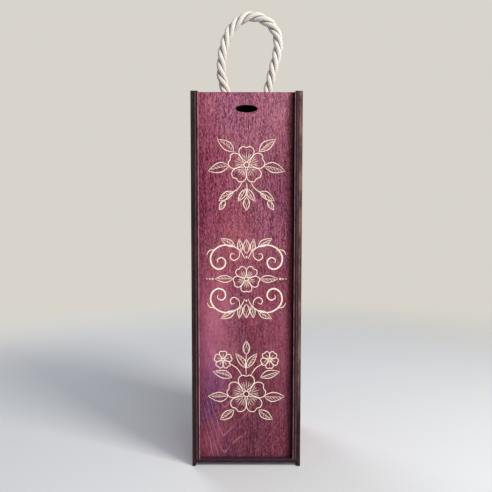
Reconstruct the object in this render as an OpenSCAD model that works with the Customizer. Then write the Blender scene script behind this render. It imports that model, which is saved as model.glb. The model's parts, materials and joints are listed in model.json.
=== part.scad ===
// A tall plywood box for one bottle, with a lid that slides up between rails
// and a rope handle whose two ends are knotted under the top panel.
// The front faces -Y, up is +Z, and the origin is the middle of the base.

/* [Box] */
// Width of the box, over its side panels
box_w = 102; // [98:1:130]
// Depth of the box, front to back
box_d = 102; // [98:1:130]
// Height of the box, from its feet to the top of its sides
box_h = 350; // [335:1:400]
// Thickness of the plywood panels
panel_t = 3; // [2.5:0.5:4]
// How far the bottom panel sits above the ends of the sides, which makes the feet
foot_h = 3.5; // [2.5:0.5:8]
// How far the top panel sits below the top of the sides
top_inset = 3.5; // [2.5:0.5:8]
// How far the back panel sits in from the back edges of the sides
back_inset = 3.5; // [2.5:0.5:8]

/* [Lid and rails] */
// Thickness of the lid
lid_t = 3; // [2.5:0.5:4]
// Play between the lid and the rails, in front and behind
lid_play = 0.2; // [0.1:0.05:0.3]
// Play between each edge of the lid and the side panel beside it
lid_edge_play = 0.5; // [0.3:0.1:1]
// Thickness of the rails, which is how far they stand in from the sides
rail_t = 4; // [2.5:0.5:5]
// Width of the front rails, front to back
front_rail_w = 5; // [4:0.5:8]
// Width of the rear rails, front to back
rear_rail_w = 10; // [6:1:14]
// Width of the oval finger hole in the lid
finger_hole_w = 20; // [16:1:30]
// Height of the oval finger hole in the lid
finger_hole_h = 6.5; // [6:0.5:12]
// Distance from the top of the lid down to the middle of the finger hole
finger_hole_drop = 15; // [12:1:30]

/* [Joints between panels] */
// Gap left round each tab and finger by the cutting beam
cut_gap = 0.1; // [0.05:0.05:0.2]
// Tabs on each side of the bottom and top panels
end_tabs = 2; // [1:1:3]
// Length of a tab on the bottom or top panel
end_tab_l = 18; // [10:1:22]
// Tabs on each side of the back panel
back_tabs = 4; // [2:1:6]
// Length of a tab on the back panel
back_tab_l = 25; // [15:1:35]
// Fingers on the back edge of the bottom and top panels
fingers = 2; // [1:1:4]

/* [Rope] */
// Diameter of the rope
rope_d = 10; // [8:0.5:12]
// Diameter of the rope where its knot squeezes it
knot_rope_d = 8; // [6.5:0.5:8.5]
// Distance between the two rope holes, centre to centre
rope_spacing = 40; // [34:1:44]
// Gap between the rope and the wall of its hole
rope_hole_gap = 0.5; // [0.2:0.1:1]
// Length of rope left hanging below each knot
rope_tail_l = 12; // [6:1:15]
// Gap between the loop of the handle and the rope end under it
rope_gap = 0.3; // [0.2:0.1:0.5]

/* [Hidden] */

stain = [0.46, 0.22, 0.30];
lid_stain = [0.52, 0.26, 0.35];
cord_colour = [0.88, 0.83, 0.76];

left = -1;
right = 1;
round_sides = 64;
oval_sides = 48;

// Faces that several pieces share
inner_w = box_w - 2 * panel_t;
front_y = -box_d / 2;
floor_z = foot_h + panel_t;
roof_z = box_h - top_inset - panel_t;
back_in_y = box_d / 2 - back_inset - panel_t;
groove_y = front_y + front_rail_w;
groove_w = lid_t + 2 * lid_play;
rear_rail_y = groove_y + groove_w;

// The loop of the handle hinges where the rope comes out of the top panel
hinge_z = roof_z + panel_t + rope_gap + rope_d / 2;

// Route of the loop: across from the middle, forward or back, and up from the hinge line.
// The loop leans to the right and bulges over its feet.
loop_route = [
    [-20, 0, 0], [-21, 0, 9], [-23, 0, 17], [-25, 0, 25], [-25.5, 0, 33], [-25, 0, 41],
    [-24, 0, 49], [-22, 0, 57], [-19.5, 0, 64], [-16, 0, 71], [-11, 0, 77], [-4, 0, 82],
    [3, 0, 84], [10, 0, 83.5], [18, 0, 80.5], [25, 0, 75], [29.5, 0, 68], [31.5, 0, 60],
    [31, 0, 51], [29, 0, 41], [26.5, 0, 32], [24.5, 0, 23], [22.5, 0, 15], [21, 0, 8], [20, 0, 0]
];
loop_sides = 12;
loop_steps = 2;
// The loop's two ends are half balls on the hinge line, with a ring at each of these angles
ball_angles = [75, 50, 25];

// The knot is a single overhand. All its sizes are in rope diameters.
// Two strands run through the middle, side by side, and the rope winds round both.
core_gap = 1.14;
wrap_long = 1.7;
wrap_wide = 1.24;
wrap_rise = 1.14;
wrap_first = 95;
wrap_step = 17.5;
knot_sides = 8;
knot_steps = 2;

// Where the rope bends out of the middle of the knot and starts to wind,
// counted from the lowest point of the winding
knot_lead = [
    [0, 0, 1.1], [0.06, 0.03, 0.62], [0.32, 0.05, 0.22], [0.7, -0.04, 0], [1.04, -0.34, -0.04]
];
// Half the height of the knot: the winding's own, how far the lead dips under it, and the rope
knot_half_h = wrap_rise / 2 + 0.04 + 0.5;
knot_z = roof_z - rope_gap - knot_half_h * knot_rope_d;

function wrap_point(angle) = [
    wrap_wide * sin(angle),
    wrap_long * cos(angle) - core_gap / 2,
    wrap_rise * ((angle - 90) / 360 - 0.5)
];

// The knot looks the same upside down, so its second half is the first one turned over
knot_half = concat(
    [for (q = knot_lead) [q.x, q.y, q.z - wrap_rise / 2]],
    [for (angle = [wrap_first:wrap_step:269]) wrap_point(angle)]
);
knot_turned = [for (i = [len(knot_half) - 1:-1:0])
    [knot_half[i].x, -core_gap - knot_half[i].y, -knot_half[i].z]];

// Rope end from the top of its hole, through the knot, to the cut end of the tail
knot_route = concat(
    [[0, 0, roof_z + panel_t, rope_d / 2], [0, 0, roof_z, rope_d / 2 - rope_gap]],
    [for (q = concat(knot_half, [wrap_point(270)], knot_turned))
        [q.x * knot_rope_d, q.y * knot_rope_d, knot_z + q.z * knot_rope_d, knot_rope_d / 2]],
    [for (step = [0, 0.5, 1])
        [0, -core_gap * knot_rope_d, knot_z - knot_half_h * knot_rope_d - step * rope_tail_l,
            knot_rope_d / 2 + step * rope_gap]]
);

function unit(v) = v / norm(v);
function place(q) = [q.x, q.y, q.z];

// Point between b and c on a smooth curve through a, b, c and d
function between(a, b, c, d, u) = (
    2 * b + (c - a) * u + (2 * a - 5 * b + 4 * c - d) * u * u
    + (3 * b - a - 3 * c + d) * u * u * u
) / 2;

// Smooth curve through the points p, in n steps from each to the next
function smooth(p, n) = concat(
    [for (i = [0:len(p) - 2], k = [0:n - 1])
        between(p[max(i - 1, 0)], p[i], p[i + 1], p[min(i + 2, len(p) - 1)], k / n)],
    [p[len(p) - 1]]
);

function heading(p, i) = unit(place(p[min(i + 1, len(p) - 1)]) - place(p[max(i - 1, 0)]));
function square_to(n, t) = unit(n - (n * t) * t);

// A direction square to the path at each point, carried along without twist
function carried(t, n0) = [
    for (i = 0, n = square_to(n0, t[0]); i < len(t); i = i + 1, n = square_to(n, t[min(i, len(t) - 1)])) n
];

// Least gap between two stretches of one rope, apart from stretches closer than away points
function least_gap(p, away) = min([
    for (i = [0:len(p) - 1 - away], j = [i + away:len(p) - 1])
        norm(place(p[i]) - place(p[j])) - p[i][3] - p[j][3]
]);

loop_path = let (
    across = rope_spacing / (loop_route[len(loop_route) - 1].x - loop_route[0].x),
    r = rope_d / 2,
    bend = smooth([for (q = loop_route) [q.x * across, q.y, hinge_z + q.z, r]], loop_steps),
    end = bend[len(bend) - 1]
) concat(
    [for (a = ball_angles) [bend[0].x, bend[0].y, hinge_z - r * sin(a), r * cos(a)]],
    bend,
    [for (k = [1:len(ball_angles)], a = ball_angles[len(ball_angles) - k])
        [end.x, end.y, hinge_z - r * sin(a), r * cos(a)]]
);
knot_path = smooth(knot_route, knot_steps);

// Rings of the knot this many steps apart or more lie on different strands
strand_apart = 9;
echo("least gap in a knot, mm", least_gap(knot_path, strand_apart));

// Middles of n equal shares of the length from a to b
function shares(a, b, n) = [for (i = [0:n - 1]) a + (b - a) * (i + 0.5) / n];

// Round rope along a path whose points are [x, y, z, radius]
module rope(p, sides) {
    t = [for (i = [0:len(p) - 1]) heading(p, i)];
    n = carried(t, [1, 0, 0]);
    last = (len(p) - 1) * sides;
    points = [
        for (i = [0:len(p) - 1], k = [0:sides - 1])
            place(p[i]) + p[i][3] * (cos(360 * k / sides) * n[i]
                + sin(360 * k / sides) * cross(t[i], n[i]))
    ];
    walls = [
        for (i = [0:len(p) - 2], k = [0:sides - 1], upper = [false, true])
            let (a = i * sides + k, b = i * sides + (k + 1) % sides)
            upper ? [b, a + sides, b + sides] : [a, a + sides, b]
    ];
    ends = [
        for (k = [1:sides - 2], far = [false, true])
            far ? [last, last + k + 1, last + k] : [0, k, k + 1]
    ];
    polyhedron(points, concat(walls, ends));
}

// Rectangle centred on its own middle, grown by a gap all round
module slot(middle, size, gap = 0) {
    translate(middle)
        square([size.x + 2 * gap, size.y + 2 * gap], center = true);
}

// Tabs of a bottom or top panel, seen from above, on both sides of it
module end_panel_tabs() {
    for (y = shares(front_y, back_in_y, end_tabs), side = [left, right])
        slot([side * (inner_w + panel_t) / 2, y], [panel_t, end_tab_l]);
}

// Spaces between the fingers on the back edge of a bottom or top panel
module finger_shares(gap) {
    share = inner_w / (2 * fingers + 1);
    for (i = [0:fingers - 1])
        translate([-inner_w / 2 + (2 * i + 1) * share - gap, 0])
            square([share + 2 * gap, panel_t + gap]);
}

// Flat end panel seen from above, from front_edge to the back panel, with its tabs and fingers
module end_panel_outline(front_edge) {
    translate([-inner_w / 2, front_edge])
        square([inner_w, back_in_y - front_edge]);
    end_panel_tabs();
    translate([0, back_in_y])
        finger_shares(0);
}

module side_panel(side) {
    color(stain)
        translate([side * (box_w - panel_t) / 2 - panel_t / 2, 0, 0])
            rotate([90, 0, 90])
                linear_extrude(panel_t)
                    difference() {
                        translate([front_y, 0])
                            square([box_d, box_h]);
                        for (z = [foot_h, roof_z], y = shares(front_y, back_in_y, end_tabs))
                            slot([y, z + panel_t / 2], [end_tab_l, panel_t], cut_gap);
                        for (z = shares(foot_h, roof_z + panel_t, back_tabs))
                            slot([back_in_y + panel_t / 2, z], [panel_t, back_tab_l], cut_gap);
                    }
}

module back_panel() {
    color(stain)
        translate([0, back_in_y + panel_t, 0])
            rotate([90, 0, 0])
                linear_extrude(panel_t)
                    difference() {
                        union() {
                            translate([-inner_w / 2, foot_h])
                                square([inner_w, roof_z + panel_t - foot_h]);
                            for (z = shares(foot_h, roof_z + panel_t, back_tabs), side = [left, right])
                                slot([side * (inner_w + panel_t) / 2, z], [panel_t, back_tab_l]);
                        }
                        translate([0, floor_z + cut_gap])
                            mirror([0, 1])
                                finger_shares(cut_gap);
                        translate([0, roof_z - cut_gap])
                            finger_shares(cut_gap);
                    }
}

module bottom_panel() {
    color(stain)
        translate([0, 0, foot_h])
            linear_extrude(panel_t)
                end_panel_outline(front_y);
}

module top_panel() {
    color(stain)
        translate([0, 0, roof_z])
            linear_extrude(panel_t)
                difference() {
                    end_panel_outline(rear_rail_y);
                    for (side = [left, right])
                        translate([side * rope_spacing / 2, 0])
                            circle(d = rope_d + 2 * rope_hole_gap, $fn = round_sides);
                }
}

// Upright strip glued to the inside of a side panel
module rail(side, y, w, top) {
    color(stain)
        translate([side * (inner_w - rail_t) / 2 - rail_t / 2, y, floor_z])
            cube([rail_t, w, top - floor_z]);
}

module lid() {
    w = inner_w - 2 * lid_edge_play;
    color(lid_stain)
        translate([0, groove_y + lid_play + lid_t, 0])
            rotate([90, 0, 0])
                linear_extrude(lid_t)
                    difference() {
                        translate([-w / 2, floor_z])
                            square([w, box_h - floor_z]);
                        translate([0, box_h - finger_hole_drop])
                            finger_hole();
                    }
}

module finger_hole() {
    polygon([for (k = [1:oval_sides], a = 360 * k / oval_sides)
        [finger_hole_w / 2 * cos(a), finger_hole_h / 2 * sin(a)]]);
}

module rope_handle() {
    color(cord_colour)
        rope(loop_path, loop_sides);
}

// The right knot is the left one turned half round
module rope_knot(side) {
    color(cord_colour)
        translate([side * rope_spacing / 2, 0, 0])
            rotate([0, 0, side == left ? 0 : 180])
                rope(knot_path, knot_sides);
}

side_panel(left);  // side_panel_left
side_panel(right);  // side_panel_right
back_panel();
bottom_panel();
top_panel();
rail(left, front_y, front_rail_w, box_h);  // front_rail_left
rail(right, front_y, front_rail_w, box_h);  // front_rail_right
rail(left, rear_rail_y, rear_rail_w, roof_z);  // rear_rail_left
rail(right, rear_rail_y, rear_rail_w, roof_z);  // rear_rail_right
lid();
rope_handle();
rope_knot(left);  // rope_knot_left
rope_knot(right);  // rope_knot_right
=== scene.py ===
# %% [markdown]
# # A stained wine box, rebuilt piece by piece
# The real object is a tall box of 3 mm birch plywood for one bottle. Its panels were cut
# by a laser, tabbed together, glued and stained wine red. A lid slides up between rails,
# and a laid rope, knotted under the top panel, is the handle.
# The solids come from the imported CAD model. They could be rebuilt here by hand, but then
# their tabs and gaps would have to be measured again, so the model is loaded as a frame,
# and this lesson adds what solids lack: finishes, worn corners, engraving and real rope.

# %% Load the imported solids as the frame
import json
import math

import bmesh
import bpy
import numpy as np
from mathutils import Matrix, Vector

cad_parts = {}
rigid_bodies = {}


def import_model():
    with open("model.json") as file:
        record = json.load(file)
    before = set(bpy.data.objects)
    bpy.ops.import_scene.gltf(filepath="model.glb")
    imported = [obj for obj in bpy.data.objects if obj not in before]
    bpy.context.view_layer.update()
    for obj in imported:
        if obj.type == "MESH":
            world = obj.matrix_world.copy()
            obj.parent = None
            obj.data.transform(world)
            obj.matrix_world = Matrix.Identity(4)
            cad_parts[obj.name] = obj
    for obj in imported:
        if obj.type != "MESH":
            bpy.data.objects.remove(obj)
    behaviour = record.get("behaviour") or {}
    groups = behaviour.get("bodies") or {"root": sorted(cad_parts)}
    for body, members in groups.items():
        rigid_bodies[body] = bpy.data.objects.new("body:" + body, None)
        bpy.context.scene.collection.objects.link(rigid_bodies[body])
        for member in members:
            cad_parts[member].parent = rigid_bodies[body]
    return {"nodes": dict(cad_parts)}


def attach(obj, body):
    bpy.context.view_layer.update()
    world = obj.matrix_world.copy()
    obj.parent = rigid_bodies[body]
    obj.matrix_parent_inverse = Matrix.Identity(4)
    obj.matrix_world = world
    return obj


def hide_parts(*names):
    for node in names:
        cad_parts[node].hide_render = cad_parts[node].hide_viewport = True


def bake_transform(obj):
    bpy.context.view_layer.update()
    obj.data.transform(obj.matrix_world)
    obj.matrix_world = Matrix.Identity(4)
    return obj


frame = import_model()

nodes = frame["nodes"]
scene = bpy.context.scene
for spare in ("Cube", "Light", "Camera"):
    if spare in bpy.data.objects:
        bpy.data.objects.remove(bpy.data.objects[spare])
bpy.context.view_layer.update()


def new_object(name, data):
    """An object with this mesh, lamp or camera, in the scene."""
    made = bpy.data.objects.new(name, data)
    scene.collection.objects.link(made)
    return made


print("solids in the frame:", ", ".join(sorted(nodes)))

# %% [markdown]
# ## The camera
# A photograph fixes where its camera stood: the four front corners of the box, whose real
# size is known, give the distance, the height and the tilt. One could set these by eye, but
# solving them from the corners leaves about a third of a pixel of error.

# %% Put the camera where the photograph was taken
MM = 0.001
SENSOR_WIDTH = 36.0
FOCAL_SHARE = 480 / 492
CAMERA_PLACE = (-0.35 * MM, -492.7 * MM, 235.7 * MM)
TILT_DOWN, ROLL, TURN = 3.44, -0.05, 0.015

lens = bpy.data.cameras.new("photo_camera")
lens.sensor_width = SENSOR_WIDTH
lens.lens = SENSOR_WIDTH * FOCAL_SHARE
lens.clip_start = 0.01
camera = new_object("photo_camera", lens)
camera.location = CAMERA_PLACE
camera.rotation_euler = [math.radians(a) for a in (90 - TILT_DOWN, ROLL, TURN)]
scene.camera = camera
scene.view_settings.view_transform = "Standard"
print("focal length in mm:", round(lens.lens, 2))

# %% [markdown]
# ## The line of the rope
# The handle is one piece of 10 mm rope. It leaves the left hole straight up, swells out,
# leans to the right at the top and goes down into the right hole. Its line could be drawn
# as a Bezier curve by eye. Here it goes through points that stand on the photographed
# rope, with a Catmull-Rom curve between them, because that curve passes through every point.

# %% A smooth line through points
ROPE_D = 10 * MM
ROPE_SPACING = 40 * MM
HINGE_Z = 351.8 * MM
ROPE_JOIN_Z = 345.0 * MM


def smooth(points, steps):
    """Catmull-Rom curve through the points, in a number of steps from each to the next."""
    p = np.asarray(points, float)
    u = (np.arange(steps) / steps)[:, None]
    parts = []
    for i in range(len(p) - 1):
        a, b, c, d = p[max(i - 1, 0)], p[i], p[i + 1], p[min(i + 2, len(p) - 1)]
        parts.append(
            (2 * b + (c - a) * u + (2 * a - 5 * b + 4 * c - d) * u**2
             + (3 * b - a - 3 * c + d) * u**3) / 2
        )
    parts.append(p[-1:])
    return np.concatenate(parts)


def run_along(line):
    """Distance along a line from its start to each of its points."""
    gaps = np.linalg.norm(np.diff(line[:, :3], axis=0), axis=1)
    return np.concatenate([[0.0], np.cumsum(gaps)])


def evenly(line, step):
    """The same line with its points an even step apart."""
    run = run_along(line)
    wanted = np.linspace(0, run[-1], max(2, round(run[-1] / step) + 1))
    return np.stack([np.interp(wanted, run, column) for column in line.T], axis=1)


# %% The handle's route, across and up from the hinge line, in millimetres
LOOP_ROUTE = [
    (-20, 0), (-21, 9), (-23, 17), (-25, 25), (-25.5, 33), (-25, 41), (-24, 49), (-22, 57),
    (-19.5, 64), (-16, 71), (-11, 77), (-4, 82), (3, 84), (10, 83.5), (18, 80.5), (25, 75),
    (29.5, 68), (31.5, 60), (31, 51), (29, 41), (26.5, 32), (24.5, 23), (22.5, 15), (21, 8),
    (20, 0),
]
LOOP_STEP = 0.7 * MM
LOOP_CURVE_STEPS = 12

into_hole = (ROPE_JOIN_Z - HINGE_Z) / MM
route = [(-20, into_hole), *LOOP_ROUTE, (20, into_hole)]
loop_points = [(x * MM, 0, HINGE_Z + up * MM) for x, up in route]
loop_line = evenly(smooth(loop_points, LOOP_CURVE_STEPS), LOOP_STEP)

# %% [markdown]
# ## A laid rope
# A laid rope is three strands wound round each other, and each strand is a bundle of yarns
# that turn the other way, so the yarns end up nearly straight along the rope. A smooth tube
# with a bump texture would show no gaps between the strands at its outline. So each strand
# is swept as real mesh: a round bundle that flattens where it presses on the other two, with
# a ridge for each yarn. In this rope the strands climb to the left, which is called S lay.

# %% Carry a pair of side directions along a line without twisting them
def carried_sides(line, first):
    """Heading and two side directions at each point; the first side starts along first."""
    heading = np.gradient(line[:, :3], axis=0)
    heading /= np.linalg.norm(heading, axis=1)[:, None]
    side = np.zeros_like(heading)
    carried = np.asarray(first, float)
    for i, ahead in enumerate(heading):
        carried = carried - ahead * (carried @ ahead)
        carried /= np.linalg.norm(carried)
        side[i] = carried
    return heading, side, np.cross(heading, side)


# %% Sweep three pressed strands along a line
LAY = 35 * MM
YARNS = 10
RINGS_PER_YARN = 5
YARN_GROOVE = 0.085
YARN_ROUNDNESS = 0.8
STRAND_GAP = 0.05 * MM
STRAND_OUT = 0.56
HALF_A_THIRD = math.radians(60)
CREVICE_SHADE_GAIN, CREVICE_SHADE_POWER = 2.2, 1.3
GROOVE_SHADE = 0.25
FIBRE_RADIUS = 2.5


def strand_sections(line, radius, phase, splay):
    """Ring of points for one strand at each point of the line, and how deep each point lies."""
    heading, side, other = carried_sides(line, phase["first"])
    run = run_along(line)
    climb = 2 * math.pi / LAY
    turn = phase["turn"] - climb * run
    outward = np.cos(turn)[:, None] * side + np.sin(turn)[:, None] * other
    around = -np.sin(turn)[:, None] * side + np.cos(turn)[:, None] * other
    count = YARNS * RINGS_PER_YARN
    yarn_turn = 2 * math.pi * np.arange(count) / count
    angle = yarn_turn[None, :] + 2 * climb * run[:, None]
    ridge = np.abs(np.cos(YARNS * yarn_turn / 2)) ** YARN_ROUNDNESS
    bundle = (radius * STRAND_OUT)[:, None] * (1 - YARN_GROOVE * (1 - ridge))[None, :]
    inward = np.where(np.cos(angle) < 0, (1 - STRAND_OUT) / STRAND_OUT, 1.0)
    u = (radius * (1 - STRAND_OUT) * splay)[:, None] + bundle * inward * np.cos(angle)
    v = bundle * np.sin(angle)
    room = np.maximum(u * math.tan(HALF_A_THIRD) - STRAND_GAP, 0)
    v = np.clip(v, -room, room)
    places = line[:, None, :3] + u[..., None] * outward[:, None] + v[..., None] * around[:, None]
    depth = 1 - np.hypot(u, v) / radius[:, None]
    # Painted shade: the deeper a point lies between the strands, and in the grooves between the
    # yarns, the darker the rope is painted there.
    crevice_shade = np.clip(depth * CREVICE_SHADE_GAIN, 0, 1) ** CREVICE_SHADE_POWER + GROOVE_SHADE * (1 - ridge)
    parts = (np.cos(yarn_turn) * FIBRE_RADIUS, np.sin(yarn_turn) * FIBRE_RADIUS, run[:, None] / MM)
    fibre = np.stack([np.broadcast_to(part, angle.shape) for part in parts], axis=-1)
    return places, np.clip(crevice_shade, 0, 1), fibre, outward


# %% Turn the rings into a closed mesh
def swept_faces(rings, count, first):
    """Quads between rings of count points, and the two end caps, for points from first on."""
    i = np.arange(rings - 1)[:, None] * count
    k = np.arange(count)[None, :]
    after = (k + 1) % count
    quads = np.stack([i + k, i + after, i + count + after, i + count + k], axis=-1)
    walls = (quads.reshape(-1, 4) + first).tolist()
    start_cap = [first + n for n in reversed(range(count))]
    end_cap = [first + (rings - 1) * count + n for n in range(count)]
    return walls + [start_cap, end_cap]


STRAND_APART = 40


def laid_rope(name, line, radius, first, splay=None):
    """Three strands as one mesh, and the direction of its first strand at the far end."""
    splay = np.ones(len(line)) if splay is None else splay
    verts, faces, crevice_shades, fibres = [], [], [], []
    for k in range(3):
        phase = {"first": first, "turn": 2 * math.pi * k / 3}
        places, crevice_shade, fibre, outward = strand_sections(line, radius, phase, splay)
        faces += swept_faces(len(line), places.shape[1], sum(len(v) for v in verts))
        verts.append(places.reshape(-1, 3))
        crevice_shades.append(crevice_shade.reshape(-1))
        fibres.append(fibre.reshape(-1, 3) + [STRAND_APART * k, 0, 0])
        if k == 0:
            far_first = outward[-1]
    mesh = bpy.data.meshes.new(name)
    mesh.from_pydata(np.concatenate(verts).tolist(), [], faces)
    mesh.shade_smooth()
    deep = mesh.attributes.new("crevice_shade", "FLOAT", "POINT")
    deep.data.foreach_set("value", np.concatenate(crevice_shades).astype(np.float32))
    place = mesh.attributes.new("fibre_place", "FLOAT_VECTOR", "POINT")
    place.data.foreach_set("vector", np.concatenate(fibres).astype(np.float32).ravel())
    print(name, "has", len(mesh.vertices), "points")
    return new_object(name, mesh), far_first


# %% [markdown]
# ## The handle
# The loop stands up by itself because the rope is stiff, and it tips over where it leaves
# the holes. It could be split there, but a rope has no seam, so it stays one mesh.

# %% Lay the handle's rope
LOOP_FIRST_SIDE = (0.35, -1.0, 0.0)

loop_radius = np.full(len(loop_line), ROPE_D / 2)
handle_rope, far_side = laid_rope("handle_rope", loop_line, loop_radius, LOOP_FIRST_SIDE)

# %% [markdown]
# ## The two knots
# Under the top panel each end is tied in a single overhand knot, pulled tight, with a short
# tail. A ball would hold the rope as well, but it would show when the lid is up, so the
# rope really goes round itself here: two strands run through the middle, and two turns wrap
# round them. The knot looks the same upside down, so half of its points give the other half.

# %% The line of an overhand knot, in rope diameters
KNOT_D = 8 * MM
CORE_GAP = 1.14
WRAP_LONG, WRAP_WIDE, WRAP_RISE = 1.7, 1.24, 1.14
WRAP_FIRST, WRAP_MIDDLE, WRAP_STEP = 95, 270, 17.5
LEAD_DIP = 0.04
KNOT_LEAD = [
    (0, 0, 1.1), (0.06, 0.03, 0.62), (0.32, 0.05, 0.22), (0.7, -0.04, 0), (1.04, -0.34, -LEAD_DIP)
]
KNOT_HALF_H = WRAP_RISE / 2 + LEAD_DIP + 0.5
ROPE_GAP = 0.3 * MM
ROOF_Z = 343.5 * MM


def wrap_point(angle):
    """Point on the two turns of the knot."""
    a = math.radians(angle)
    across = WRAP_WIDE * math.sin(a)
    along = WRAP_LONG * math.cos(a) - CORE_GAP / 2
    return across, along, WRAP_RISE * ((angle - 90) / 360 - 0.5)


lead = [(x, y, z - WRAP_RISE / 2) for x, y, z in KNOT_LEAD]
first_half = lead + [wrap_point(a) for a in np.arange(WRAP_FIRST, WRAP_MIDDLE - 1, WRAP_STEP)]
turned_half = [(x, -CORE_GAP - y, -z) for x, y, z in reversed(first_half)]
knot_z = ROOF_Z - ROPE_GAP - KNOT_HALF_H * KNOT_D
print("middle of the knots at mm:", round(knot_z / MM, 2))

# %% The whole end of the rope, from inside the hole to the cut end of its tail
TAIL_L = 12 * MM
TAIL_SPLAY = 1.16
TAIL_SPLAY_L = 4 * MM
KNOT_CURVE_STEPS = 10

stub = [(0, 0, ROPE_JOIN_Z, ROPE_D / 2), (0, 0, ROOF_Z, ROPE_D / 2 - ROPE_GAP)]
wound = [
    (x * KNOT_D, y * KNOT_D, knot_z + z * KNOT_D, KNOT_D / 2)
    for x, y, z in first_half + [wrap_point(WRAP_MIDDLE)] + turned_half
]
tail_top = knot_z - KNOT_HALF_H * KNOT_D
tail = [
    (0, -CORE_GAP * KNOT_D, tail_top - share * TAIL_L, KNOT_D / 2 + share * ROPE_GAP)
    for share in (0, 0.5, 1)
]
knot_line = evenly(smooth(stub + wound + tail, KNOT_CURVE_STEPS), LOOP_STEP)
from_end = run_along(knot_line)[-1] - run_along(knot_line)
knot_splay = 1 + (TAIL_SPLAY - 1) * np.clip(1 - from_end / TAIL_SPLAY_L, 0, 1) ** 2
print("rope in each knot and tail in mm:", round(from_end[0] / MM, 1))


# %% Tie both knots
def tie_knot(name, x, half_turn, first):
    """One knot under the hole at x; the right one is the left one turned half round."""
    placed = knot_line.copy()
    if half_turn:
        placed[:, :2] *= -1
    placed[:, 0] += x
    return laid_rope(name, placed[:, :3], placed[:, 3], first, knot_splay)[0]


left_knot = tie_knot("left_knot", -ROPE_SPACING / 2, False, LOOP_FIRST_SIDE)
right_knot = tie_knot("right_knot", ROPE_SPACING / 2, True, far_side)

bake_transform(handle_rope)
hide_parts("rope_handle")
for knot, node_name in ((left_knot, "rope_knot_left"), (right_knot, "rope_knot_right")):
    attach(knot, "case")
    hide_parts(node_name)

# %% [markdown]
# ## Floor, background and lamps
# The box stands on a pale floor in soft light. In the photograph the right rail throws a
# narrow shadow on the lid and the rope is brightest on its right, so the main lamp is high
# at the front right. One lamp alone would leave the left black, so the sky fills in from all
# sides. The floor fades into the background colour, because a far edge would draw a line.


# %% Colours are written as on a paint chart
def paint(red, green, blue):
    """Colour in linear light, with alpha, from three numbers of 0 to 255."""
    shares = [c / 255 for c in (red, green, blue)]
    linear = [s / 12.92 if s <= 0.04045 else ((s + 0.055) / 1.055) ** 2.4 for s in shares]
    return (*linear, 1.0)


# %% Short ways to add nodes
NODE_STEP = (220, -260)
NODES_IN_A_ROW = 12


def add(tree, kind, inputs=None, **settings):
    """Adds a node. inputs gives its sockets values, or links them to other sockets."""
    made = tree.nodes.new("ShaderNode" + kind)
    row, column = divmod(len(tree.nodes), NODES_IN_A_ROW)
    made.location = (column * NODE_STEP[0], row * NODE_STEP[1])
    for name, value in settings.items():
        setattr(made, name, value)
    for key, value in (inputs or {}).items():
        if isinstance(value, bpy.types.NodeSocket):
            tree.links.new(value, made.inputs[key])
        else:
            made.inputs[key].default_value = value
    return made


def tree_of(*values):
    """A socket knows the tree that it stands in; this is the tree of the first one given."""
    return next(value.id_data for value in values if isinstance(value, bpy.types.NodeSocket))


def sums(operation, *values):
    """One step of arithmetic on sockets or numbers."""
    made = add(tree_of(*values), "Math", dict(enumerate(values)), operation=operation)
    return made.outputs[0]


def times(a, b):
    """One value multiplied by another."""
    return sums("MULTIPLY", a, b)


def vectors(operation, *values):
    """One step of arithmetic on places. A length, distance or dot product is a number."""
    made = add(tree_of(*values), "VectorMath", dict(enumerate(values)), operation=operation)
    is_number = operation in ("LENGTH", "DISTANCE", "DOT_PRODUCT")
    return made.outputs["Value" if is_number else "Vector"]


def mix(share, a, b, how="MIX"):
    """Colour a with a share of colour b laid over it."""
    layers = {0: share, 6: a, 7: b}
    return add(tree_of(share, a, b), "Mix", layers, data_type="RGBA", blend_type=how).outputs[2]


def tinted(colour, tint):
    """A colour multiplied by a tint."""
    return mix(1.0, colour, tint, "MULTIPLY")


def between(value, low, high, to_low=0.0, to_high=1.0):
    """Smooth step of a value from low to high."""
    limits = {0: value, 1: low, 2: high, 3: to_low, 4: to_high}
    return add(tree_of(value), "MapRange", limits, interpolation_type="SMOOTHSTEP").outputs[0]


def lay(colour, tint, value, low, high, share=1.0, strength=None):
    """Lays a tint over a colour: none where the value is low, a share of it where it is high."""
    covered = between(value, low, high, 0.0, share)
    if strength is not None:
        covered = times(covered, strength)
    return mix(covered, colour, tint)


def noise(place, stretch, detail=2.0, roughness=0.5):
    """Noise whose grains have the given size along x, y and z, in units of the place."""
    scaled = vectors("MULTIPLY", place, [1 / s for s in stretch])
    grains = {"Vector": scaled, "Scale": 1.0, "Detail": detail, "Roughness": roughness}
    return add(tree_of(scaled), "TexNoise", grains).outputs["Fac"]


def parts_of(place):
    """The parts of a place along x, y and z."""
    return add(tree_of(place), "SeparateXYZ", {0: place}).outputs


# %% A new finish, and what feeds its surface
def new_finish(name, specular):
    """A material, its node tree, and the inputs of its Principled shader."""
    finish = bpy.data.materials.new(name)
    finish.use_nodes = True
    surface = finish.node_tree.nodes["Principled BSDF"].inputs
    surface["Specular IOR Level"].default_value = specular
    return finish, finish.node_tree, surface


def feed(surface, colour, roughness, height, strength, distance):
    """Gives a surface its colour and roughness, and a bump made from a height."""
    tree = tree_of(colour)
    bump = add(tree, "Bump", {"Height": height, "Strength": strength, "Distance": distance})
    tree.links.new(colour, surface["Base Color"])
    tree.links.new(roughness, surface["Roughness"])
    tree.links.new(bump.outputs[0], surface["Normal"])


def place_in_mm(where):
    """Where a point lies on its object, in millimetres."""
    return vectors("MULTIPLY", where["Object"], [1 / MM] * 3)


# %% The floor, which fades out into the background
FLOOR_HALF = 2.5
FLOOR_FADE = (0.34, 0.92)
FLOOR_COLOUR = paint(231, 236, 240)
BACKGROUND = paint(216, 212, 204)

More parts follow.
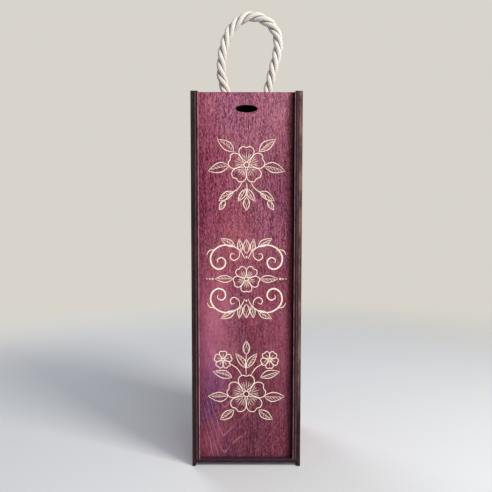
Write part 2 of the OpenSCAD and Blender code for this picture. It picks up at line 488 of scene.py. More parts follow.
floor_mesh = bpy.data.meshes.new("floor")
floor_corners = [(x * FLOOR_HALF, y * FLOOR_HALF, 0) for x, y in ((-1, -1), (1, -1), (1, 1), (-1, 1))]
floor_mesh.from_pydata(floor_corners, [], [(0, 1, 2, 3)])
floor = new_object("floor", floor_mesh)

floor_finish, tree, surface = new_finish("pale_floor", specular=0.0)
surface["Base Color"].default_value = FLOOR_COLOUR
surface["Roughness"].default_value = 1.0
from_box = vectors("LENGTH", add(tree, "TexCoord").outputs["Object"])
tree.links.new(between(from_box, *FLOOR_FADE, 1.0, 0.0), surface["Alpha"])
floor_mesh.materials.append(floor_finish)
print("floor side in m:", 2 * FLOOR_HALF)

# %% The sky fills the shadows, and shows as a pale background
SKY_STRENGTH = 0.19
SKY_COLOUR = paint(250, 250, 255)

sky = bpy.data.worlds.new("studio_sky")
scene.world = sky
sky.use_nodes = True
tree = sky.node_tree
fill = tree.nodes["Background"]
fill.inputs["Color"].default_value = SKY_COLOUR
fill.inputs["Strength"].default_value = SKY_STRENGTH
backdrop = add(tree, "Background", {"Color": BACKGROUND, "Strength": 1.0})
ray = add(tree, "LightPath").outputs
seen = sums("MAXIMUM", ray["Is Camera Ray"], ray["Is Glossy Ray"])
seen = sums("MAXIMUM", seen, ray["Is Transmission Ray"])
chosen = add(tree, "MixShader", {0: seen, 1: fill.outputs[0], 2: backdrop.outputs[0]})
tree.links.new(chosen.outputs[0], tree.nodes["World Output"].inputs["Surface"])

# %% Three lamps
LAMP_AIM = Vector((0, -0.04, 0.22))


def lamp(name, place, width, power, colour):
    """A square lamp at a place, turned towards the box."""
    light = bpy.data.lights.new(name, "AREA")
    light.shape = "SQUARE"
    light.size = width
    light.energy = power
    light.color = colour[:3]
    made = new_object(name, light)
    made.location = place
    made.rotation_euler = (LAMP_AIM - Vector(place)).to_track_quat("-Z", "Y").to_euler()
    made.visible_camera = False
    return made


main_lamp = lamp("main_lamp", (0.75, -0.60, 0.80), 0.42, 11.5, paint(255, 250, 242))
front_lamp = lamp("front_lamp", (0.55, -1.4, 0.75), 0.8, 7.6, paint(248, 249, 255))
back_lamp = lamp("back_lamp", (-0.8, 1.2, 0.8), 0.8, 9.5, paint(250, 250, 255))
print("lamps:", main_lamp.name, front_lamp.name, back_lamp.name)

# %% [markdown]
# ## Stained birch
# Birch veneer is peeled from the log, so it has fine upright grain, loose wavy figure and
# hair-thin pores. The stain sinks in unevenly: wine red with plum and violet clouds, and
# pale flecks where the grain takes less. Painting a picture would do it, but only from
# one side, so noise in three dimensions is stretched along the grain, in layers of
# different sizes. The layers are one node group, used by the lid and by all the panels.


# %% Helpers: an empty node group with named sockets, and links to what it puts out
KINDS = {tuple: "NodeSocketVector", float: "NodeSocketFloat"}


def new_group(name, inputs, outputs):
    """Group whose inputs and outputs get their kind from a first value: number, place or colour."""
    group = bpy.data.node_groups.new(name, "ShaderNodeTree")
    for direction, sockets in (("INPUT", inputs), ("OUTPUT", outputs)):
        for label, value in sockets.items():
            is_colour = isinstance(value, tuple) and len(value) == 4
            kind = "NodeSocketColor" if is_colour else KINDS[type(value)]
            socket = group.interface.new_socket(label, in_out=direction, socket_type=kind)
            socket.default_value = value
    return group, group.nodes.new("NodeGroupInput").outputs, group.nodes.new("NodeGroupOutput").inputs


def put_out(result, values):
    """Links what a group has worked out to its outputs."""
    for name, value in values.items():
        tree_of(value).links.new(value, result[name])


# %% Group: stained birch, with the grain along the third axis, places in millimetres
SURFACE_PARTS = {"Colour": paint(0, 0, 0), "Roughness": 0.0, "Height": 0.0}
WARM_TINT = (1.25, 1.05, 0.85, 1.0)

birch, given, result = new_group(
    "stained_birch",
    {
        "Place": (0, 0, 0),
        "Stain": paint(150, 78, 98),
        "Violet": paint(96, 56, 104),
        "Pale grain": paint(204, 138, 152),
        "Figure": 0.5,
        "Heart": -22.0,
        "Steepness": 1.6,
        "Contrast": 0.8,
    },
    SURFACE_PARTS,
)
place = given["Place"]
elsewhere = vectors("ADD", place, (71, 13, 37))
clouds = noise(place, (30, 30, 75), 3.0, 0.55)
wisps = noise(place, (5, 5, 34), 3.0, 0.6)
tints = noise(elsewhere, (18, 18, 48), 3.0)
deep = tinted(given["Stain"], paint(218, 204, 224))
warm = tinted(given["Stain"], WARM_TINT)
colour = lay(given["Stain"], deep, clouds, 0.40, 0.62)
colour = lay(colour, deep, wisps, 0.44, 0.70, 0.4)
colour = lay(colour, given["Violet"], tints, 0.53, 0.73, 0.3)
colour = lay(colour, warm, tints, 0.46, 0.28, 0.55)

# %% Group, second part: thin pale lines where the peeled sheet cuts the growth rings
ARM_RISE = 2.9
ARM_LEAN = 1.5
HEART_ROUND = 8.0
DRIFT = 34.0
RING_TURN = 0.19

across, through, along = parts_of(place)
off_heart = sums("SUBTRACT", across, given["Heart"])
arms = sums("SQRT", sums("ADD", times(off_heart, off_heart), HEART_ROUND))
arms = sums("SUBTRACT", times(arms, ARM_RISE), times(off_heart, ARM_LEAN))
arms = times(arms, given["Steepness"])
drift = times(noise(place, (26, 26, 60)), DRIFT)
rings = sums("ADD", sums("SUBTRACT", along, arms), drift)
wave = sums("ABSOLUTE", sums("SINE", times(rings, RING_TURN)))
broken = between(noise(elsewhere, (14, 14, 30)), 0.36, 0.54)
line = times(times(between(wave, 0.32, 0.02), broken), given["Figure"])
colour = mix(line, colour, mix(0.45, warm, paint(222, 150, 148)))

# %% Group, third part: soft streaks, dark and bright flecks, fine fibres and hair-thin pores
streaks = noise(place, (1.1, 1.1, 22), 3.0, 0.65)
fibres = noise(place, (0.20, 0.20, 9.0), 2.0, 0.6)
flecks = noise(place, (0.34, 0.34, 2.6), 2.0, 0.7)
shades = noise(elsewhere, (0.38, 0.38, 5.5), 2.0, 0.7)
pores = noise(place, (0.28, 0.28, 2.6), 1.0)
specks = noise(elsewhere, (1.0, 1.0, 1.2), 0.0)
frayed = times(sums("SUBTRACT", fibres, 0.5), 0.3)
flecks = sums("ADD", flecks, frayed)
shades = sums("SUBTRACT", shades, frayed)
pale, contrast = given["Pale grain"], given["Contrast"]
colour = lay(colour, pale, streaks, 0.44, 0.66, 0.45, contrast)
dark = tinted(colour, paint(164, 100, 116))
colour = lay(colour, dark, shades, 0.46, 0.58, 0.8, contrast)
colour = lay(colour, pale, flecks, 0.51, 0.61, 1.0, contrast)
dark = tinted(colour, paint(196, 170, 186))
colour = lay(colour, dark, fibres, 0.45, 0.62, 0.4)
colour = lay(colour, dark, pores, 0.58, 0.70, 0.5)
colour = lay(colour, paint(225, 205, 210), specks, 0.85, 0.88, 0.5)
rough = between(flecks, 0.4, 0.7, 0.66, 0.78)
relief = sums("SUBTRACT", fibres, between(pores, 0.58, 0.70, 0.0, 0.5))
put_out(result, {"Colour": colour, "Roughness": rough, "Height": relief})
print("nodes in the birch group:", len(birch.nodes))

# %% [markdown]
# ## Burnt edges
# The laser leaves every cut edge nearly black, with the three veneers of the ply still to be
# told apart: thin greyish lines between them, and fine marks where the beam went through.
# They could be separate strips of mesh, 1 mm wide, but the cut is flat, so the group
# below reads how far a point is through the ply and colours the three layers from that.

# %% Group: burnt edge of the ply, with the share of its thickness as an input
VENEERS = 3

burnt, given, result = new_group(
    "burnt_edge",
    {
        "Place": (0, 0, 0),
        "Through": 0.5,
        "Soot": paint(38, 25, 30),
        "Ash": paint(86, 70, 80),
        "Glue": paint(86, 70, 80),
        "Scorched": paint(158, 118, 108),
        "Scorch": 0.1,
    },
    SURFACE_PARTS,
)
place = given["Place"]
wander = times(sums("SUBTRACT", noise(place, (3, 3, 3)), 0.5), 0.10)
layer = sums("ADD", given["Through"], wander)
glue = sums("PINGPONG", times(layer, VENEERS), 1.0)
inside = sums("COMPARE", layer, 0.5, 0.40)
glue_line = times(between(glue, 0.24, 0.0), inside)
core = sums("COMPARE", layer, 0.5, 0.5 / VENEERS)
long_grain = noise(place, (0.35, 0.35, 7.0), 2.0, 0.6)
end_grain = noise(place, (0.30, 0.30, 0.30), 2.0, 0.6)
grain = add(burnt, "Mix", {0: core, 2: long_grain, 3: end_grain}).outputs[0]
beam = noise(place, (0.22, 4.0, 0.22), 1.0)
patches = noise(place, (6, 6, 16), 3.0)
marks = sums("ADD", times(grain, 0.6), times(beam, 0.4))
colour = lay(given["Soot"], given["Ash"], marks, 0.46, 0.64, 0.6)
brown = mix(between(marks, 0.38, 0.60, 0.6, 0.0), given["Scorched"], given["Soot"])
scorch = times(given["Scorch"], between(patches, 0.35, 0.65, 0.4, 1.0))
colour = mix(scorch, colour, brown)
flaked = between(marks, 0.40, 0.56, 0.25, 0.9)
colour = mix(times(glue_line, flaked), colour, given["Glue"])
rough = between(marks, 0.3, 0.7, 0.66, 0.84)
relief = sums("SUBTRACT", marks, times(glue_line, 0.4))
put_out(result, {"Colour": colour, "Roughness": rough, "Height": relief})
print("nodes in the burnt edge group:", len(burnt.nodes))

# %% Group: tells flat faces of a panel from its cut edges and worn corners
FLAT_FROM = 0.97
CORNER_MIDDLE, CORNER_HALF = 0.655, 0.315

sorter, given, result = new_group(
    "ply_sides",
    {
        "Place": (0, 0, 0),
        "Facing": (0, 0, 1),
        "Across the ply": (1, 0, 0),
        "First face": 45.0,
        "Thickness": 3.0,
    },
    {"Face": 0.0, "Corner": 0.0, "Through": 0.0},
)
flat = vectors("DOT_PRODUCT", given["Facing"], given["Across the ply"])
flat = sums("ABSOLUTE", flat)
is_face = sums("GREATER_THAN", flat, FLAT_FROM)
is_corner = sums("COMPARE", flat, CORNER_MIDDLE, CORNER_HALF)
depth = vectors("DOT_PRODUCT", given["Place"], given["Across the ply"])
depth = sums("SUBTRACT", sums("ABSOLUTE", depth), given["First face"])
through = sums("FRACT", sums("DIVIDE", depth, given["Thickness"]))
put_out(result, {"Face": is_face, "Corner": is_corner, "Through": through})
print("nodes in the sorting group:", len(sorter.nodes))


# %% [markdown]
# ## The finish of the panels
# Every panel is the same ply, so one function makes all their materials, each turned to its
# own grain. What tells them apart is a look: the colours of stain, soot and glue, and soft
# pools of other stain; on the lid, one pale pool at the top right is painted sheen instead,
# and one dark pool makes it darker towards the bottom. The lid's look also has veils, which
# darken stain and grain alike, rims that darken it beside the rails, which on the right are
# painted shadow of the right rail, and flames, where the wood's figure shows. A texture
# painted on each panel could do this too, but would have to be painted again for any change.

# %% Helpers: the grain's direction, a group in a material, and soft pools
POOL_SQUAT = 0.45


def in_order(place, order):
    """The place with its parts in another order, so that the grain runs along the third."""
    parts = parts_of(place)
    picked = {n: parts[letter] for n, letter in enumerate(order)}
    return add(tree_of(place), "CombineXYZ", picked).outputs[0]


def use_group(group, inputs):
    """Places a node group in a material, with its own values."""
    return add(tree_of(*inputs.values()), "Group", inputs, node_tree=group).outputs


def pool_mask(place, centre, reach, share):
    """Soft upright patch with a ragged rim: share in its middle, nothing past its reach."""
    ragged = between(noise(place, (11, 11, 26), 3.0), 0.3, 0.7, 0.65, 1.4)
    squat = vectors("MULTIPLY", place, (1, 1, POOL_SQUAT))
    gap = vectors("DISTANCE", squat, (centre[0], centre[1], centre[2] * POOL_SQUAT))
    return between(times(gap, ragged), 0.0, reach, share, 0.0)


def pooled(place, colour, stain_and_sheen_pools):
    """Lays soft pools over a colour. Each has a place, a reach, a colour and a share."""
    for centre, reach, tint, share in stain_and_sheen_pools:
        colour = mix(pool_mask(place, centre, reach, share), colour, tint)
    return colour


# %% The stained face of a panel
# The pale grain shows more strongly higher up each panel: partly the wood's own flecks, partly
# painted sheen where the upper part catches the lamp.
GRAIN_AND_SHEEN_RISE = (60, 330)
STEEPNESS_RISE = (70, 220)
FIGURE_REST = 0.15
FIGURE_SIDE_FADE = (0, 18, 1.0, 0.25)


def stained_face(place, turned, look):
    """The birch group with the values of a look, and its colour under veils and rims."""
    sideways, _, high_up = parts_of(place)
    figure = look["figure"]
    if look["figure_fall"]:
        figure = between(high_up, *look["figure_fall"], figure, FIGURE_REST)
        figure = times(figure, between(sideways, *FIGURE_SIDE_FADE))
    for centre, reach, share in look["flames"]:
        figure = sums("MAXIMUM", figure, pool_mask(place, centre, reach, share))
    values = {
        "Place": turned,
        "Stain": pooled(place, look["stain"], look["stain_and_sheen_pools"]),
        "Violet": look["violet"],
        "Pale grain": look["pale"],
        "Figure": figure,
        "Heart": look["heart"],
        "Contrast": between(high_up, *GRAIN_AND_SHEEN_RISE, *look["contrast"]),
        "Steepness": between(high_up, *STEEPNESS_RISE, *look["steepness"]),
    }
    face = use_group(birch, values)
    colour = face["Colour"]
    for centre, reach, tint, share in look["veils"]:
        covered = pool_mask(place, centre, reach, share)
        colour = mix(covered, colour, tinted(colour, tint))
    # Rims darken the colour in bands beside the rails; on the lid's right side they are painted
    # shadow of the right rail.
    for (start, end), tint in look["rims_and_rail_shadow"]:
        colour = lay(colour, tinted(colour, tint), sideways, start, end)
    return face, colour


# %% Faces, edges and corners together
def ply_finish(name, order, first_face, look, thickness=3.0):
    """Stained faces, burnt edges and rubbed corners of a sheet that starts at its first face.
    order names the axes across the grain, through the ply and along the grain."""
    finish, tree, surface = new_finish(name, specular=0.14)
    look = {**PLAIN_LOOK, **look}
    where = add(tree, "TexCoord").outputs
    place = place_in_mm(where)
    turned = in_order(place, order)
    face, face_colour = stained_face(place, turned, look)
    through = [float(axis == order[1]) for axis in "XYZ"]
    ply = {"Across the ply": through, "First face": first_face, "Thickness": thickness}
    sides = use_group(sorter, {"Place": place, "Facing": where["Normal"], **ply})
    scorch = look["scorch"]
    if look["scorch_rise"]:
        high_up = parts_of(place)["Z"]
        scorch = between(high_up, *look["scorch_rise"], PLAIN_LOOK["scorch"], scorch)
    values = {
        "Place": turned,
        "Through": sides["Through"],
        "Soot": look["soot"],
        "Ash": look["ash"],
        "Glue": look["glue"],
        "Scorch": scorch,
    }
    edge = use_group(burnt, values)
    colour = mix(sides["Face"], edge["Colour"], face_colour)
    # Colour of the rubbed corners; on the rails the inner one is partly a painted highlight.
    corner_wear_and_highlight = lay(look["inner"], look["outer"], sides["Through"], 0.3, 0.7)
    rubbed = between(noise(turned, (1.2, 1.2, 7), 3.0), 0.36, 0.56, 0.45, 1.0)
    colour = mix(times(sides["Corner"], rubbed), colour, corner_wear_and_highlight)
    rough, height = [
        add(tree, "Mix", {0: sides["Face"], 2: edge[part], 3: face[part]}).outputs[0]
        for part in ("Roughness", "Height")
    ]
    feed(surface, colour, rough, height, 0.5, 0.2 * MM)
    return finish


# %% The looks of the panels
GAP_BLACK = paint(15, 9, 12)
ROSE, WINE, PLUM = paint(176, 92, 112), paint(100, 36, 66), paint(106, 50, 92)
PLAIN_LOOK = {
    "stain": paint(140, 70, 88),
    "violet": paint(92, 56, 104),
    "pale": paint(190, 122, 136),
    "figure": 0.5,
    "heart": 8.0,
    "contrast": (0.55, 0.7),
    "steepness": (1.6, 1.6),
    "stain_and_sheen_pools": [
        ((50, -20, 300), 62, WINE, 0.7),
        ((50, 28, 150), 56, ROSE, 0.6),
        ((50, -24, 60), 44, PLUM, 0.6),
        ((-50, 24, 280), 62, paint(104, 38, 70), 0.7),
        ((-50, -26, 190), 50, ROSE, 0.6),
        ((-50, 10, 60), 50, PLUM, 0.6),
        ((-26, 47, 290), 56, ROSE, 0.5),
        ((24, 47, 200), 60, WINE, 0.7),
        ((-20, 47, 70), 50, PLUM, 0.6),
    ],
    "veils": [],
    "rims_and_rail_shadow": [],
    "figure_fall": None,
    "flames": [],
    "soot": paint(16, 4, 9),
    "ash": paint(52, 23, 36),
    "glue": paint(84, 50, 64),
    "scorch": 0.1,
    "scorch_rise": None,
    "inner": paint(104, 66, 80),
    "outer": paint(104, 66, 80),
}
SIDE_LOOK = {"inner": GAP_BLACK, "outer": paint(84, 64, 68)}
RIGHT_LOOK = {**SIDE_LOOK, "scorch": 0.95, "scorch_rise": (48, 80)}
RAIL_LOOK = {
    "stain_and_sheen_pools": [],
    "soot": paint(16, 5, 13),
    "ash": paint(54, 28, 46),
    "glue": paint(146, 110, 126),
    # The rails' inner corners are painted pale pink: partly rubbed wood, partly a painted highlight
    # where the corner catches the light.
    "inner": paint(206, 150, 168),
    "outer": paint(66, 46, 58),
}
# The right rail gets a darker copy of the rail finish: painted shade, as its inner face stands in the
# shadow of the main lamp at the right.
SHADED_RIGHT_RAIL_LOOK = {**RAIL_LOOK, "stain": paint(74, 24, 34), "pale": paint(104, 50, 62)}
# The bottom panel is stained much darker than the others, so the ledge under the lid and the floor
# inside come out dark.
BOTTOM_LOOK = {
    "stain_and_sheen_pools": [],
    "stain": paint(66, 36, 58),
    "pale": paint(100, 62, 88),
    "soot": paint(5, 1, 3),
    "ash": paint(28, 12, 20),
    "outer": paint(78, 50, 70),
}

rail_finish = ply_finish("rail_ply", "YXZ", 44.0, RAIL_LOOK, 4.0)
PANEL_FINISH = {
    "side_panel_left": ply_finish("left_side_ply", "YXZ", 48.0, SIDE_LOOK),
    "side_panel_right": ply_finish("right_side_ply", "YXZ", 48.0, RIGHT_LOOK),
    "front_rail_left": rail_finish,
    "front_rail_right": ply_finish("shaded_right_rail_ply", "YXZ", 44.0, SHADED_RIGHT_RAIL_LOOK, 4.0),
    "rear_rail_left": rail_finish,
    "rear_rail_right": rail_finish,
    "back_panel": ply_finish("back_ply", "XYZ", 44.5, {}),
    "bottom_panel": ply_finish("bottom_ply", "YZX", 3.5, BOTTOM_LOOK),
    "top_panel": ply_finish("top_ply", "YZX", 343.5, {}),
}
print("panels with a finish:", len(PANEL_FINISH))

# %% [markdown]
# ## The panels and rails
# Their solids already have every tab and finger, so they stay. A sharp CAD corner never
# catches light, though, and real cut ply is rubbed over with sandpaper. New vertices could be
# modelled along every edge, but a bevel modifier does it without touching the solid. The
# imported mesh is split along its edges, so a weld comes first or the bevel finds none.

# %% Round the corners and put the finishes on
CORNER_ROUND = 0.30 * MM
FRONT_ROUND = 0.38 * MM
WELD_WITHIN = 0.01 * MM
FLAT_WITHIN = math.radians(0.5)
SHARP_FROM = math.radians(40)
SEEN_IN_FRONT = ("front_rail_left", "front_rail_right", "bottom_panel")


def rub_corners(thing, width):
    """Welds the split mesh and bevels its sharp edges a little, as sandpaper does."""
    weld = thing.modifiers.new("weld", "WELD")
    weld.merge_threshold = WELD_WITHIN
    joined = thing.modifiers.new("join_triangles", "DECIMATE")
    joined.decimate_type = "DISSOLVE"
    joined.angle_limit = FLAT_WITHIN
    bevel = thing.modifiers.new("rubbed_corners", "BEVEL")
    bevel.width = width
    bevel.segments = 2
    bevel.limit_method = "ANGLE"
    bevel.angle_limit = SHARP_FROM


for node_name, finish in PANEL_FINISH.items():
    panel = nodes[node_name]
    panel.material_slots[0].material = finish
    rub_corners(panel, FRONT_ROUND if node_name in SEEN_IN_FRONT else CORNER_ROUND)
print("finished panels:", len(PANEL_FINISH))

# %% [markdown]
# ## The engraved lid: a pen that draws on wood
# The lid carries a drawing that a laser cut through the stain into the pale birch. The lines
# could be painted with a mask, but up close an engraved line has a floor, two walls and a
# shadow. So each line is a narrow block with pointed ends, and all blocks are cut out of
# the lid with a Boolean. The drawing here is a common garland of five-petal blossoms,
# leaves, buds and scrolls, the same left and right, as box makers have used for ages.

# %% The pen: a line that swells in its middle
outlines = []
PEN = 0.78
FINE_PEN = 0.46


def draw(points, pen=PEN, ends=0.35, steps=6):
    """Adds one line of the drawing, with points in millimetres across and up the lid."""
    line = smooth(points, steps)
    share = np.linspace(0, 1, len(line))
    half = pen / 2 * (ends + (1 - ends) * np.sin(math.pi * share) ** 0.7)
    heading = np.gradient(line, axis=0)
    heading /= np.linalg.norm(heading, axis=1)[:, None]
    aside = np.stack([-heading[:, 1], heading[:, 0]], axis=1) * half[:, None]
    tip_start = line[:1] - heading[:1] * half[0]
    tip_end = line[-1:] + heading[-1:] * half[-1]
    outlines.append(np.concatenate([tip_start, line - aside, tip_end, (line + aside)[::-1]]))


def dot(at, radius):
    """Adds a round dot."""
    angles = np.radians(np.arange(0, 360, 20))
    outlines.append(np.asarray(at) + radius * np.stack([np.cos(angles), np.sin(angles)], axis=1))


def moved(points, at, turn, size=(1, 1)):
    """Points along and across a part, turned by an angle from upright and moved to a place."""
    a = math.radians(turn)
    up = np.array([-math.sin(a), math.cos(a)])
    aside = np.array([math.cos(a), math.sin(a)])
    p = np.asarray(points, float) * size
    return np.asarray(at) + p[:, :1] * up + p[:, 1:] * aside


# %% Blossoms: five petals with a notch at the tip
PETAL_HALF = [(0.16, 0.03), (0.34, 0.22), (0.60, 0.40), (0.84, 0.38), (0.98, 0.20), (0.93, 0.0)]
PETAL_VEINS = [(0.0, 0.24, 0.70), (0.14, 0.28, 0.62), (-0.14, 0.28, 0.62), (0.26, 0.38, 0.58),
               (-0.26, 0.38, 0.58)]


def blossom(at, radius, turn=0, veins=5, petals=5):
    """A flower seen from the front."""
    for k in range(petals):
        side = turn + 360 / petals * k
        other_half = [(along, -aside) for along, aside in reversed(PETAL_HALF[:-1])]
        draw(moved(PETAL_HALF + other_half, at, side, (radius, radius)), ends=0.7)
        for aside, start, end in PETAL_VEINS[:veins]:
            points = [(start, aside * 0.45), ((start + end) / 2, aside * 0.8), (end, aside)]
            draw(moved(points, at, side, (radius, radius)), FINE_PEN, ends=0.2)
    heart(at, radius * 0.14)
    for k in range(petals * 2):
        tip = moved([(radius * 0.30, 0)], at, turn + 180 / petals * (k + 0.5))[0]
        root = moved([(radius * 0.17, 0)], at, turn + 180 / petals * (k + 0.5))[0]
        draw([root, (root + tip) / 2, tip], FINE_PEN, ends=0.8)


def heart(at, radius):
    """The round middle of a flower, in two half rings."""
    for start in (-5, 175):
        angles = np.radians(np.linspace(start, start + 190, 8))
        arc = np.stack([at[0] + radius * np.cos(angles), at[1] + radius * np.sin(angles)], axis=1)
        draw(arc, PEN, ends=1.0, steps=3)


# %% Leaves: two sides, a midrib, and veins on one half
def leaf(at, turn, length, width, bend=0.15, veins=5):
    """A pointed leaf that bends to one side."""
    def place(along, aside):
        return (along * length, aside * width / 2 + bend * length * along * along)

    side_shape = [(0, 0), (0.18, 0.62), (0.42, 1.0), (0.70, 0.72), (1.0, 0)]
    for sign in (1, -1):
        edge = [place(along, sign * aside) for along, aside in side_shape]
        draw(moved(edge, at, turn), ends=0.3)
    draw(moved([place(t, 0) for t in (0, 0.3, 0.6, 0.86)], at, turn), FINE_PEN, ends=0.4)
    for k in range(veins):
        t = 0.14 + 0.58 * k / max(veins - 1, 1)
        reach = 0.62 * math.sin(math.pi * min(t + 0.12, 1)) ** 0.8
        vein = [place(t, 0.04), place(t + 0.07, reach * 0.5), place(t + 0.16, reach)]
        draw(moved(vein, at, turn), FINE_PEN * 0.9, ends=0.3)


def bud(at, turn, length):
    """A closed flower in its two sepals."""
    width = length * 0.46
    drop = [(0, 0), (0.25, 0.42), (0.55, 0.50), (0.85, 0.22), (1.0, 0)]
    for sign in (1, -1):
        side = [(along * length, sign * aside * width) for along, aside in drop]
        draw(moved(side, at, turn), ends=0.4)
        sepal = [(0, 0), (0.16, 0.34 * sign), (0.40, 0.30 * sign), (0.58, 0.10 * sign)]
        draw(moved([(a * length, b * width) for a, b in sepal], at, turn), FINE_PEN, ends=0.3)
    draw(moved([(0.55 * length, 0), (0.75 * length, 0.02 * width), (0.92 * length, 0)], at, turn),
         FINE_PEN)


def both_sides(part, at, turn, *sizes, **more):
    """The same part on the left and on the right."""
    for sign in (-1, 1):
        bent = {"bend": sign * more["bend"]} if "bend" in more else {}
        part((sign * at[0], at[1]), turn * -sign, *sizes, **{**more, **bent})


def draw_twice(points, pen=PEN, ends=0.35):
    """The same line on the left and on the right."""
    for sign in (-1, 1):
        draw([(sign * x, z) for x, z in points], pen, ends)


# %% The hanging garland under the finger hole
blossom((0, 284), 17, veins=5)
both_sides(leaf, (11.5, 296), 48, 19, 8, bend=0.10)
both_sides(leaf, (16, 283), 96, 20, 9, bend=0.14)
draw_twice([(4, 268), (8, 262), (15, 257), (20, 251)])
both_sides(bud, (20, 251), 150, 10)
both_sides(leaf, (12, 259), 112, 16, 6.5, bend=0.16, veins=4)
draw([(0, 267), (0.6, 261), (0, 254)], ends=0.5)
bud((0, 254), 180, 12)
both_sides(leaf, (0.4, 262), 152, 14, 5, bend=-0.08, veins=3)
print("lines after the garland:", len(outlines))

# %% The scrolls in the middle
MIDDLE = 178


def scroll(flip):
    """A pair of scrolls with their leaves above the middle; flip turns them upside down."""
    def place(points):
        return [(x, MIDDLE + flip * z) for x, z in points]

    turned = 0 if flip > 0 else 180
    draw_twice(place([(1.6, 19), (5.5, 26), (13, 30.8), (22, 31.5), (29.5, 27.5), (33.4, 20.5),
                      (32, 13), (26.5, 9.2), (21, 11.2), (19.6, 16.6), (23, 20), (27, 18.2),
                      (26.6, 15.2)]), 1.5, 0.3)
    draw_twice(place([(6.2, 26.6), (7, 20.5), (11.4, 17.4), (15, 20), (14, 23.6), (11, 23)]), 0.9)
    draw_twice(place([(29.5, 27.5), (34.5, 26.5), (37, 22.5)]), 0.8)
    for sign in (-1, 1):
        way = sign * flip
        leaf(*place([(sign * 11, 30)]), turned - 52 * way, 15, 6, bend=0.12 * way, veins=4)
        leaf(*place([(sign * 5, 25.4)]), turned - 12 * way, 12, 4.6, bend=-0.06 * way, veins=3)
    bud(*place([(0, 24)]), turned, 13)
    dot(*place([(0, 20.5)]), 0.9)


scroll(1)
scroll(-1)
blossom((0, MIDDLE), 12.5, turn=36, veins=3)
for sign in (-1, 1):
    leaf((sign * 12.5, MIDDLE), -90 * sign, 17, 6.5, bend=0, veins=4)
    for n in range(3):
        dot((sign * (31.6 + 2.7 * n), MIDDLE), 0.95 - 0.2 * n)
print("lines after the scrolls:", len(outlines))

# %% The standing spray at the foot
blossom((0, 68), 18.5, veins=5)
both_sides(leaf, (17, 66), 100, 19, 9, bend=-0.16)
both_sides(leaf, (12, 52.5), 132, 16, 7.5, bend=-0.10, veins=4)
draw([(0, 87), (-0.7, 97), (0, 106)], ends=0.5)
bud((0, 106), 0, 13)
draw_twice([(4, 85.5), (9, 93), (17, 98)])
both_sides(blossom, (22, 101), 8.5, veins=1)
both_sides(leaf, (0.3, 93), 28, 17, 6, bend=0.12, veins=4)
both_sides(leaf, (13.5, 84), 66, 19, 7.5, bend=0.12)
print("lines in the whole drawing:", len(outlines))

# %% Each outline becomes a narrow block
LID_FRONT = -45.8 * MM
ENGRAVING_DEPTH = 0.22 * MM
IN_FRONT = 0.4 * MM


def block_of(outline):
    """Points and faces of a closed block with this outline, standing across the lid's face."""
    count = len(outline)
    front = np.insert(outline * MM, 1, LID_FRONT - IN_FRONT, axis=1)
    floor = np.insert(outline * MM, 1, LID_FRONT + ENGRAVING_DEPTH, axis=1)
    faces = [list(range(count)), [count + k for k in reversed(range(count))]]
    for k in range(count):
        after = (k + 1) % count
        faces.append([after, k, count + k, count + after])
    return np.concatenate([front, floor]), faces


blocks = bpy.data.collections.new("engraving_blocks")
scene.collection.children.link(blocks)
for n, outline in enumerate(outlines):
    points, faces = block_of(outline)
    mesh = bpy.data.meshes.new("engraving_block")
    mesh.from_pydata(points.tolist(), [], faces)
    blocks.objects.link(bpy.data.objects.new(f"engraving_block_{n:03d}", mesh))

# %% [markdown]
# ## Cutting the drawing into the lid
# The CAD lid itself isn't changed: a copy of it is welded, its corners are rubbed round,
# and then the blocks are taken out of it. Its broad faces could stay whole, but one face
# with hundreds of lines in it ends as long thin slivers, so they are sliced into tiles
# first. The cut faces get the material of the blocks, so the walls and floors of the lines
# are bare birch and everything else is stained.

# %% The lid's finish, and bare birch for the engraving
LID_LOOK = {
    "stain": paint(128, 44, 70),
    "violet": paint(104, 44, 92),
    "pale": paint(212, 138, 158),
    "figure": 1.0,
    "figure_fall": (40, 95),
    "heart": -22.0,
    "veils": [
        ((37, -46, 266), 36, paint(224, 204, 214), 1.0),
        ((-42, -46, 264), 42, paint(244, 196, 220), 1.0),
    ],
    # The first rim darkens the lid's left side; the two on the right are painted shadow cast on the
    # lid by the right rail.
    "rims_and_rail_shadow": [
        ((-33, -46), paint(214, 200, 206)),
        ((35, 43), paint(176, 134, 136)),
        ((40.6, 43.6), paint(72, 30, 33)),
    ],
    "contrast": (0.36, 1.1),
    "steepness": (1.0, 2.8),
    "flames": [((-12, -46, 212), 24, 0.55)],
    "inner": paint(120, 66, 82),
    "outer": paint(60, 34, 42),
    "stain_and_sheen_pools": [
        # The first pool, pale pink at the top right, is painted sheen where the upper lid catches the
        # lamp.
        ((34, -46, 348), 46, paint(198, 142, 160), 0.75),
        ((-10, -46, 350), 60, paint(140, 84, 120), 0.5),
        ((-8, -46, 336), 20, paint(112, 62, 118), 0.6),
        ((32, -46, 262), 46, paint(80, 20, 46), 0.85),
        ((-40, -46, 264), 42, paint(82, 12, 46), 0.8),
        ((-8, -46, 218), 22, paint(170, 82, 78), 0.5),
        ((2, -46, 318), 16, paint(160, 86, 92), 0.35),
        ((-36, -46, 165), 34, paint(182, 88, 116), 0.65),
        ((26, -46, 236), 26, paint(140, 74, 118), 0.45),
        # This pool makes the lid darker towards the bottom.
        ((4, -46, 14), 80, paint(78, 18, 42), 0.85),
        ((-36, -46, 112), 36, paint(206, 128, 150), 0.85),
        ((-36, -46, 52), 15, paint(44, 22, 88), 1.0),
        ((-30, -46, 78), 20, paint(112, 58, 126), 0.5),
        ((42, -46, 110), 34, paint(146, 72, 90), 0.7),
        ((-20, -46, 2), 16, paint(66, 32, 70), 0.6),
        ((-34, -46, 28), 20, paint(160, 76, 100), 0.55),
    ],
}
lid_finish = ply_finish("lid_ply_finish", "XYZ", 42.8, LID_LOOK)

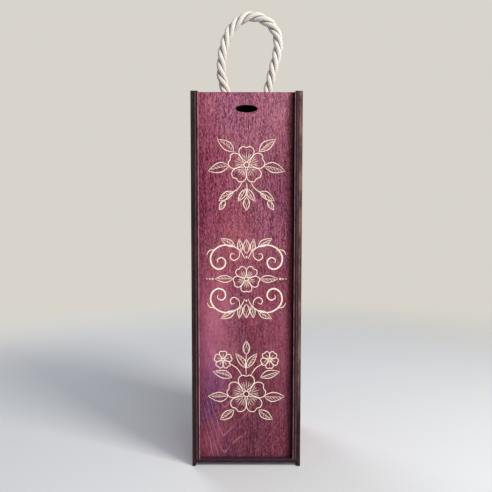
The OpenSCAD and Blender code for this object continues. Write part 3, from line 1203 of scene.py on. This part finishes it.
bare_birch, tree, surface = new_finish("bare_birch", specular=0.3)
place = place_in_mm(add(tree, "TexCoord").outputs)
scorch = noise(place, (1.2, 1.2, 5), 3.0, 0.6)
rows = noise(place, (0.4, 0.4, 0.2), 1.0)
colour = lay(paint(255, 245, 231), paint(246, 228, 210), scorch, 0.35, 0.70)
feed(surface, colour, between(scorch, 0.3, 0.7, 0.7, 0.85), rows, 0.4, 0.1 * MM)
print("faces and lines of the lid have finishes")


# %% Helpers for the cut
def settled(thing):
    """Applies all modifiers of an object, so that its mesh is what they made."""
    bpy.context.view_layer.update()
    made = bpy.data.meshes.new_from_object(thing.evaluated_get(bpy.context.evaluated_depsgraph_get()))
    thing.modifiers.clear()
    if "custom_normal" in made.attributes:
        made.attributes.remove(made.attributes["custom_normal"])
    made.shade_flat()
    thing.data = made


TILE = 9 * MM
FIRST_TILE, LEAST_TILE = 0.71, 0.3


def tiled(mesh):
    """Slices a mesh into tiles across and up, so that no face has more than a few lines on it."""
    work = bmesh.new()
    work.from_mesh(mesh)
    for axis in (0, 2):
        spots = [v.co[axis] for v in work.verts]
        normal = Vector([float(n == axis) for n in range(3)])
        start = min(spots) + FIRST_TILE * TILE
        for spot in np.arange(start, max(spots) - LEAST_TILE * TILE, TILE):
            everything = work.verts[:] + work.edges[:] + work.faces[:]
            bmesh.ops.bisect_plane(work, geom=everything, plane_co=normal * spot, plane_no=normal)
    work.to_mesh(mesh)
    work.free()


# %% Cut the drawing into a copy of the lid
engraved_lid = new_object("engraved_lid", nodes["lid"].data.copy())
engraved_lid.matrix_basis = nodes["lid"].matrix_basis
engraved_lid.data.materials.clear()
engraved_lid.data.materials.append(lid_finish)
engraved_lid.data.materials.append(bare_birch)
for block in blocks.objects:
    block.data.materials.append(bare_birch)
rub_corners(engraved_lid, CORNER_ROUND)
settled(engraved_lid)
tiled(engraved_lid.data)
cut = engraved_lid.modifiers.new("engraving", "BOOLEAN")
cut.operation = "DIFFERENCE"
cut.solver = "MANIFOLD"
cut.operand_type = "COLLECTION"
cut.collection = blocks
cut.material_mode = "TRANSFER"
settled(engraved_lid)
for block in list(blocks.objects):
    bpy.data.objects.remove(block)
bpy.data.collections.remove(blocks)
bare = sum(1 for face in engraved_lid.data.polygons if face.material_index == 1)
print("faces of the lid:", len(engraved_lid.data.polygons), "of which engraved:", bare)
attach(engraved_lid, "lid")
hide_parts("lid")

# %% [markdown]
# ## The rope's finish
# Undyed rope is cream where light reaches its fibres; down between the strands it is painted
# brown, as painted shade that grows the deeper a point lies. The mesh keeps two notes at each
# point: that shade, worked out from how deep it lies, and where it is along the fibre. The
# finish reads both, so the streaks follow the yarns round every bend, which noise in plain
# object space can't do.

# %% Undyed rope
rope_finish, tree, surface = new_finish("undyed_rope", specular=0.25)
surface["Sheen Weight"].default_value = 0.12
fibre_place = add(tree, "Attribute", attribute_name="fibre_place").outputs["Vector"]
crevice_shade = add(tree, "Attribute", attribute_name="crevice_shade").outputs["Fac"]
fibres = noise(fibre_place, (0.22, 0.22, 6.0), 3.0, 0.6)
tufts = noise(fibre_place, (1.6, 1.6, 9.0), 2.0)
colour = lay(paint(232, 228, 223), paint(223, 215, 208), fibres, 0.35, 0.68)
colour = lay(colour, paint(216, 204, 186), tufts, 0.45, 0.75, 0.35)
# Painted shade: dark brown laid in where the rope lies deep between its strands.
colour = lay(colour, paint(62, 39, 26), crevice_shade, 0.55, 0.92, 0.95)
feed(surface, colour, between(fibres, 0.3, 0.7, 0.75, 0.92), fibres, 0.6, 0.3 * MM)
for piece in (handle_rope, left_knot, right_knot):
    piece.data.materials.append(rope_finish)
print("the rope is finished")
